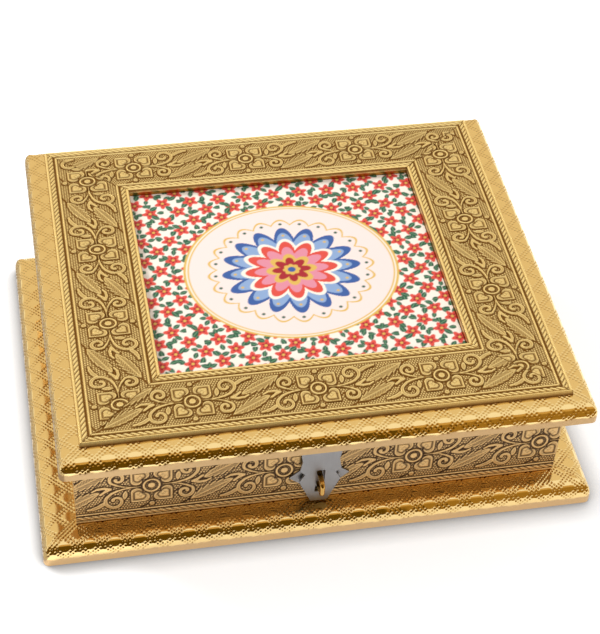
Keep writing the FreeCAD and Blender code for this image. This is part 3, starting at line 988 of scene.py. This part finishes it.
@dataclass
class RoundedEdge:
    """Foil-covered edge mouldings, mitred with soft corners: upright band, quarter round and flat top."""

    stem: str
    body: str
    grain: LizardGrain
    band: float
    radius: float
    shown: float
    width: float = 20.0
    corner: float = 3.0
    seam: float = 0.3
    foil_edge: float = 0.9
    seam_drop: float = 0.15

    def profile(self) -> tuple[Array, Array, Array, Array, Array]:
        """Section of the moulding from its outer foot to its inner foot.

        Returns:
            Depth, height, the outward normal's two parts, and the distance round the profile.
        """
        step = self.grain.step
        band = np.linspace(0, self.band, 9)
        bend = np.linspace(0, math.pi / 2, round(self.radius * math.pi / 2 / step) + 1)[1:]
        flat = np.arange(self.radius + step, self.shown, step)
        hidden = np.array([self.shown, self.width])
        depth = np.concatenate([0 * band, self.radius * (1 - np.cos(bend)), flat, hidden, [self.width]])
        top = self.band + self.radius
        level = np.full(flat.size + hidden.size, top)
        height = np.concatenate([band, self.band + self.radius * np.sin(bend), level, [0]])
        out = np.concatenate([0 * band - 1, -np.cos(bend), 0 * flat, 0 * hidden, [1]])
        up = np.concatenate([0 * band, np.sin(bend), 0 * flat + 1, 0 * hidden + 1, [0]])
        chords = np.cumsum(np.hypot(np.diff(depth), np.diff(height)))
        over = np.concatenate([[0], chords]) - self.band
        return depth, height, out, up, over

    def stations(self, length: float, end: Array) -> Array:
        """Places along the moulding for each point of the profile.

        The middle stretch steps from pit to pit. Past it the places close up or spread to meet the mitre.

        Args:
            length: length of the side.
            end: distance from the side's corner to the mitre, for each point of the profile.

        Returns:
            Array (path, profile) of distances along the side.
        """
        step = self.grain.step
        first = math.ceil((self.width + 2) / step)
        last = math.floor((length - self.width - 2) / step)
        middle = np.arange(first, last + 1)[:, None] * step + 0 * end
        share = np.linspace(0, 1, first, endpoint=False)[:, None]
        head = end + share * (first * step - end)
        tail = length - end + share[::-1] * (last * step - length + end)
        return np.concatenate([head, middle, tail], axis=0)

    def satin(self, along: Array, over: Array) -> Array:
        """1 on the satin band, 0 on the grained foil. The foil's torn edge wanders by three sines."""
        tear = 0.5 * np.sin(along / 2.3) + 0.35 * np.sin(along / 0.9 + 1.7) + 0.3 * np.sin(along / 5.1)
        return 1 - ease(over + self.foil_edge * (1 + 0.5 * tear) - 0.6, -0.3, 0.3)

    def run(self, side: Side, low: Array, high: Array) -> Piece:
        """Builds one side's moulding.

        The corner is a quarter circle in plan that shrinks inward: near an end the section is set back by
        R - sqrt(R^2 - (R - d)^2), with d the distance from the corner and R what is left of its radius.

        Args:
            side: which side.
            low: lowest corner of the whole border.
            high: its highest corner.

        Returns:
            The moulding's object.
        """
        depth, height, out, up, over = (part[None, :] for part in self.profile())
        length, _ = side.spans(low, high)
        left = np.clip(self.corner - depth, 0, None)
        end = depth + left * (1 - math.sqrt(0.5))
        along = self.stations(length, end)
        near = np.minimum(along, length - along) - depth
        set_back = left - np.sqrt(np.clip(left ** 2 - np.clip(left - near, 0, None) ** 2, 0, None))
        pit, drop = self.grain.pits(along, over)
        satin = self.satin(along, over)
        bare = (depth >= self.width) | (height < 0.01)
        ends = ease(np.minimum(along - end, length - end - along), 0, self.seam)
        live = (1 - satin) * (1 - bare) * ends
        drop = drop * live - self.seam_drop * (1 - ends) * (1 - bare)
        points = side.place(low, high, along, depth + set_back + drop * out, low[2] + height + drop * up)
        # The pit attribute tints the pits with painted shade in the material.
        return grid_piece(f"{self.stem}_edge_{side.label}", points, {"pit": pit * live, "satin": satin})

    def build(self) -> list[Piece]:
        """Builds and dresses the four mouldings.

        Returns:
            The mouldings' objects.
        """
        low, high = border_mm(self.stem)
        nodes = {side: f"{self.stem}_{side.label}" for side in Side}
        return [dress(self.run(side, low, high), EDGE_FOIL, self.body, node)
                for side, node in nodes.items()]


# Picture


@dataclass
class LidPicture:
    """Matt print in the lid's window: an oval rosette on blush, in a field of common blossoms and leaves."""

    step: float = 0.5
    oval: tuple[float, float] = (53.0, 47.0)
    sprig: float = 14.6
    edge: float = 0.35
    leaves: tuple[tuple[float, float, float], ...] = (
        (3.6, 5.6, 1.5), (3.4, 4.6, 1.3), (3.8, 5.2, 1.4), (3.2, 4.4, 1.2))
    cream: str = "F8EEDF"
    blush: str = "F6E2DA"
    coral: str = "DF5145"
    deep_red: str = "A92A33"
    green: str = "2E5A45"
    light_green: str = "6F9A72"
    blue: str = "3E5F9E"
    pale_blue: str = "8FA9CF"
    pink: str = "E28FA0"
    gold: str = "E0B65A"

    def lay(self, ground: Array, inside: Array, ink: str) -> Array:
        """Prints an ink where a shape's depth is positive, with an edge as soft as the print's screen."""
        cover = ease(inside, -self.edge, self.edge)[..., None]
        return ground * (1 - cover) + np.array(linear(ink)) * cover

    def leaf(self, x: Array, y: Array, turn: Array, size: tuple[float, float, float]) -> tuple[Array, Array]:
        """Depth inside a pointed leaf and inside its midrib.

        The half width is a parabola along the leaf, which starts away from the blossom's centre.

        Args:
            x: distance across the print from that centre.
            y: distance up it.
            turn: the leaf's direction in radians.
            size: where it starts, its length and its half width.

        Returns:
            The two depths in millimetres.
        """
        start, long, wide = size
        a = x * np.cos(turn) + y * np.sin(turn) - start - long / 2
        b = -x * np.sin(turn) + y * np.cos(turn)
        inside = wide * (1 - (2 * a / long) ** 2) - np.abs(b)
        return inside, np.minimum(0.2 - np.abs(b), long * 0.36 - np.abs(a))

    def sprigs(self, ground: Array, x: Array, y: Array) -> Array:
        """Staggered blossoms of five petals, each with leaves round it and turned by its own amount.

        A blossom's edge is R (0.8 + 0.2 cos 5a) round its centre.

        Args:
            ground: the colours printed so far.
            x: distance across the print from its middle.
            y: distance up it.

        Returns:
            The colours with the sprigs on them.
        """
        for shift in (0.0, 0.5):
            u, v = x / self.sprig + shift, y / self.sprig + shift
            cu, cv = np.floor(u), np.floor(v)
            lx, ly = (u - cu - 0.5) * self.sprig, (v - cv - 0.5) * self.sprig
            turn = np.mod(cu * 2.4 + cv * 1.3 + shift * 3.1, 2 * math.pi)
            for k, size in enumerate(self.leaves):
                inside, rib = self.leaf(lx, ly, turn + k * math.pi / 2 + 0.3, size)
                ground = self.lay(ground, inside, self.green)
                ground = self.lay(ground, rib, self.light_green)
            radius, angle = np.hypot(lx, ly), np.arctan2(ly, lx) - turn
            ground = self.lay(ground, 4.3 * (0.8 + 0.2 * np.cos(5 * angle)) - radius, self.coral)
            ground = self.lay(ground, 2.2 * (0.75 + 0.25 * np.cos(5 * angle)) - radius, self.deep_red)
            ground = self.lay(ground, 0.8 - radius, self.gold)
        return ground

    def rosette(self, ground: Array, x: Array, y: Array) -> Array:
        """Rings of round petals: a ring's edge is its radius less a wave of |cos(lobes a / 2)|.

        Args:
            ground: the colours printed so far.
            x: distance across the print from its middle.
            y: distance up it.

        Returns:
            The colours with the rosette on them.
        """
        x = x * self.oval[1] / self.oval[0]
        radius, angle = np.hypot(x, y), np.arctan2(y, x)
        rings = (
            (38.0, 24, 0.05, self.gold), (36.9, 24, 0.05, self.blush), (31.5, 16, 0.13, self.blue),
            (27.6, 16, 0.14, self.pale_blue), (23.0, 12, 0.12, self.cream), (21.0, 12, 0.16, self.coral),
            (16.8, 12, 0.16, self.pink), (11.5, 8, 0.16, self.gold), (8.8, 8, 0.2, self.deep_red),
            (4.0, 8, 0.1, self.gold), (1.8, 8, 0.0, self.blue),
        )
        for reach, lobes, wave, ink in rings:
            petals = 1 - 2 * wave * (1 - np.abs(np.cos(lobes * angle / 2)))
            ground = self.lay(ground, reach * petals - radius, ink)
        for count, reach, size, ink in ((24, 34.4, 0.8, self.green), (16, 25.6, 0.7, self.gold)):
            spoke = (angle * count / (2 * math.pi) + 0.5) % 1 - 0.5
            away = np.hypot(radius - reach, spoke * 2 * math.pi * reach / count)
            ground = self.lay(ground, size - away, ink)
        return ground

    def paint(self, x: Array, y: Array) -> Array:
        """Lays the inks in order: cream paper, sprigs, the oval's field and lines, then the rosette.

        Args:
            x: distance across the print from its middle.
            y: distance up it.

        Returns:
            Linear colours, with red, green, blue and alpha on the last axis.
        """
        colour = np.zeros(x.shape + (4,)) + np.array(linear(self.cream))
        colour = self.sprigs(colour, x, y)
        away = (1 - np.hypot(x / self.oval[0], y / self.oval[1])) * min(self.oval)
        for inset, ink in ((-1.6, self.gold), (-0.5, self.cream), (0.2, self.gold), (0.9, self.blush)):
            colour = self.lay(colour, away - inset, ink)
        inner = self.rosette(colour, x, y)
        cover = ease(away, 1.0, 1.4)[..., None]
        return colour * (1 - cover) + inner * cover

    def build(self) -> Piece:
        """Builds the printed sheet as a thin slab whose top carries the inks.

        Returns:
            The print's object.
        """
        low, high = box_mm("picture_print")
        run, reach = Side.FRONT.spans(low, high)
        depth = np.linspace(0, reach, round(reach / self.step) + 1)[None, :]
        along = np.linspace(0, run, round(run / self.step) + 1)[:, None] + 0 * depth
        depth = depth + 0 * along
        colour = self.paint(along - run / 2, depth - reach / 2)
        height = with_ends(0 * depth + high[2], low[2])
        points = Side.FRONT.place(low, high, with_ends(along), with_ends(depth), height)
        piece = grid_piece("lid_picture", points, {"ink": with_ends(colour)})
        return dress(piece, PRINT, "lid", "picture_print")


# Carried-over solids


@dataclass
class Fittings:
    """CAD solids whose shape is right and which only need their finish."""

    finishes: dict[str, Finish] = field(default_factory=lambda: {
        "hinge": BRASS, "hasp": STEEL, "staple_plate": STEEL, "staple": WIRE, "floor": VELVET,
        "divider": VELVET, "wall_": VELVET, "lid_liner": VELVET, "lid_board": PLAIN_FOIL, "base_cover": FELT,
        "base_board": BOARD})

    def dress(self) -> list[str]:
        """Gives each shown CAD node the finish whose key its name starts with, the longest key first.

        Returns:
            The names of the nodes that were dressed.
        """
        done = []
        for name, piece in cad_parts.items():
            keys = sorted((k for k in self.finishes if name.startswith(k)), key=len, reverse=True)
            if not keys:
                continue
            for slot in piece.material_slots:
                slot.material = self.finishes[keys[0]].material()
            done.append(name)
        return done


# Studio


@dataclass(frozen=True)
class SoftBox:
    """Square lamp that faces the box: place and edge in metres, power in watts."""

    name: str
    place: tuple[float, float, float]
    edge: float
    power: float


@dataclass(frozen=True)
class Card:
    """Card that only mirrors see, in metres: two ends, foot and top, and its top's lean to the left."""

    name: str
    colour: str
    ends: tuple[tuple[float, float], tuple[float, float]]
    z: tuple[float, float]
    lean: float = 0.0


@dataclass
class Studio:
    """White floor, soft light, cards for the foil to mirror, and a camera at the photograph's angle.

    The dark and brown cards draw the streak along the front rounds, and the upper one softens it. The warm
    one deepens the gold of flat tops, and the grey one lies along the left side and shades the edges there.
    """

    target: tuple[float, float, float] = (6.646, 6.428, 40.0)
    azimuth: float = -13.1149
    elevation: float = 44.7996
    roll: float = 3.7273
    distance: float = 880.333
    focal_px: float = 1680.473
    image_width: int = 600
    sensor: float = 36.0
    floor_half: float = 6000.0
    contact_reach: float = 13.0
    contact_depth: float = 1.7
    fill: float = 0.45
    floor_glow: float = 0.45
    aim: tuple[float, float, float] = (0, 0, 0.06)
    lamps: tuple[SoftBox, ...] = (
        SoftBox("soft_box_back_left", (-1.0, 0.9, 1.1), 0.7, 24),
        SoftBox("soft_box_front", (0.3, -1.2, 1.3), 1.0, 11))
    cards: tuple[Card, ...] = (
        Card("dark_card", "60490E", ((-0.6, -0.22), (0.06, -0.22)), (0.0, 0.17)),
        Card("brown_card", "A07C34", ((0.06, -0.22), (0.6, -0.22)), (0.0, 0.17)),
        Card("upper_card", "CEAA66", ((-0.6, -0.22), (0.6, -0.22)), (0.17, 0.30)),
        Card("warm_card", "E8DAC0", ((-1.2, 0.6), (1.2, 0.6)), (0.12, 1.3)),
        Card("grey_card", "C6C0BC", ((-0.139, -0.2), (-0.139, 1.5)), (0.0005, 0.02), lean=1.5))

    def axes(self) -> tuple[Vector, Vector, Vector]:
        """Works out the camera's right, up and backward directions from its angles.

        Returns:
            The three directions, each of length 1.
        """
        az, el, roll = (math.radians(v) for v in (self.azimuth, self.elevation, self.roll))
        back = Vector((math.sin(az) * math.cos(el), -math.cos(az) * math.cos(el), math.sin(el)))
        right = Vector((math.cos(az), math.sin(az), 0))
        up = back.cross(right)
        turned = right * math.cos(roll) + up * math.sin(roll), up * math.cos(roll) - right * math.sin(roll)
        return *turned, back

    def camera(self) -> None:
        """Adds the camera and makes it the scene's."""
        right, up, back = self.axes()
        data = bpy.data.cameras.new("camera")
        data.sensor_fit = "HORIZONTAL"
        data.sensor_width = self.sensor
        data.lens = self.focal_px * self.sensor / self.image_width
        data.clip_end = 50
        camera = bpy.data.objects.new("camera", data)
        eye = (Vector(self.target) + back * self.distance) * MM
        camera.matrix_world = Matrix.Translation(eye) @ Matrix((right, up, back)).transposed().to_4x4()
        bpy.context.scene.collection.objects.link(camera)
        bpy.context.scene.camera = camera

    def seen(self, tree: Tree) -> Socket:
        """Tells the rays that show the white room from those that only carry its light.

        Args:
            tree: the node tree.

        Returns:
            An output of 1 for camera, mirror and see-through rays, and 0 for the rest.
        """
        path = add_node(tree, "LightPath", {}).node.outputs
        direct = {0: path["Is Camera Ray"], 1: path["Is Glossy Ray"]}
        either = add_node(tree, "Math", direct, operation="MAXIMUM")
        return add_node(tree, "Math", {0: either, 1: path["Is Transmission Ray"]}, operation="MAXIMUM")

    def world(self) -> None:
        """White where it is seen, and a dimmer fill where it only lights."""
        world = bpy.data.worlds.new("white_room")
        tree = bare_tree(world)
        fill = add_node(tree, "Background", {"Color": (1, 1, 1, 1), "Strength": self.fill})
        white = add_node(tree, "Background", {"Color": (1, 1, 1, 1), "Strength": 1.0})
        mixed = add_node(tree, "MixShader", {0: self.seen(tree), 1: fill, 2: white})
        add_node(tree, "OutputWorld", {"Surface": mixed})
        bpy.context.scene.world = world

    def sheet(self, name: str, corners: list[tuple], paint: Material, mirrored: bool) -> None:
        """Adds a flat piece of the stage.

        Args:
            name: the sheet's name.
            corners: its four corners in metres.
            paint: its material.
            mirrored: True if only mirrors see it.
        """
        mesh = bpy.data.meshes.new(name)
        mesh.from_pydata(corners, [], [(0, 1, 2, 3)])
        mesh.materials.append(paint)
        sheet = bpy.data.objects.new(name, mesh)
        sheet.visible_camera = sheet.visible_diffuse = sheet.visible_shadow = not mirrored
        bpy.context.scene.collection.objects.link(sheet)

    def floor(self) -> None:
        """White sweep with some glow of its own where it is seen, and a painted contact shadow that greys it
        close to what stands on it.
        """
        paper = bpy.data.materials.new("white_paper_sweep")
        tree = bare_tree(paper)
        plain = add_node(tree, "BsdfDiffuse", {"Color": (0.8, 0.8, 0.8, 1)})
        # Painted contact shadow: ambient occlusion greys the floor near the box, for camera rays only.
        sky = add_node(tree, "AmbientOcclusion", {"Distance": self.contact_reach * MM}, "AO", samples=16)
        straight = add_node(tree, "LightPath", {}, "Is Camera Ray")
        depth = add_node(tree, "Math", {0: straight, 1: self.contact_depth}, operation="MULTIPLY")
        shade = add_node(tree, "Math", {0: sky, 1: depth}, operation="POWER")
        white = add_node(tree, "Math", {0: shade, 1: 0.9}, operation="MULTIPLY")
        lit = add_node(tree, "BsdfDiffuse", {"Color": white})
        own = add_node(tree, "Emission", {"Color": shade, "Strength": self.floor_glow})
        bright = add_node(tree, "AddShader", {0: lit, 1: own})
        mixed = add_node(tree, "MixShader", {0: self.seen(tree), 1: plain, 2: bright})
        add_node(tree, "OutputMaterial", {"Surface": mixed})
        half = self.floor_half * MM
        corners = [(-half, -half, 0), (half, -half, 0), (half, half, 0), (-half, half, 0)]
        self.sheet("floor", corners, paper, mirrored=False)

    def lamp(self, box: SoftBox) -> None:
        """Adds a soft box that faces the lid's middle and that mirrors don't see.

        Args:
            box: the soft box.
        """
        data = bpy.data.lights.new(box.name, "AREA")
        data.size = box.edge
        data.energy = box.power
        lamp = bpy.data.objects.new(box.name, data)
        place = Vector(box.place)
        facing = (place - Vector(self.aim)).to_track_quat("Z", "Y")
        lamp.matrix_world = Matrix.Translation(place) @ facing.to_matrix().to_4x4()
        lamp.visible_glossy = False
        bpy.context.scene.collection.objects.link(lamp)

    def card(self, card: Card) -> None:
        """Adds a card of one even colour.

        Args:
            card: the card.
        """
        paint = bpy.data.materials.new(card.name)
        tree = bare_tree(paint)
        flat = add_node(tree, "Emission", {"Color": linear(card.colour), "Strength": 1.0})
        add_node(tree, "OutputMaterial", {"Surface": flat})
        (x0, y0), (x1, y1) = card.ends
        foot, top = card.z
        corners = [(x0, y0, foot), (x1, y1, foot), (x1 - card.lean, y1, top), (x0 - card.lean, y0, top)]
        self.sheet(card.name, corners, paint, mirrored=True)

    def build(self) -> None:
        """Sets up the whole studio."""
        self.camera()
        self.world()
        self.floor()
        for box in self.lamps:
            self.lamp(box)
        for card in self.cards:
            self.card(card)
        bpy.context.scene.view_settings.view_transform = "Standard"


def main() -> None:
    """Builds the studio and the box's sub-assemblies in order."""
    logging.basicConfig(level=logging.INFO, format="%(name)s: %(message)s")
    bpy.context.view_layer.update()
    Studio().build()
    die, runs, grain = FloralDie(), EdgeRuns(), LizardGrain()
    made = LidFrame(die, runs).build() + WallFoil(die, runs).build()
    made += RoundedEdge("lid_moulding", "lid", grain, band=4.5, radius=5.5, shown=11.5).build()
    made += RoundedEdge("plinth", "base", grain, band=5.0, radius=7.0, shown=18.0).build()
    made.append(LidPicture().build())
    for piece in made:
        log.info("%s: %d faces", piece.name, len(piece.data.polygons))
    for name in Fittings().dress():
        log.info("%s: finish only", name)


if __name__ == "__main__":
    main()
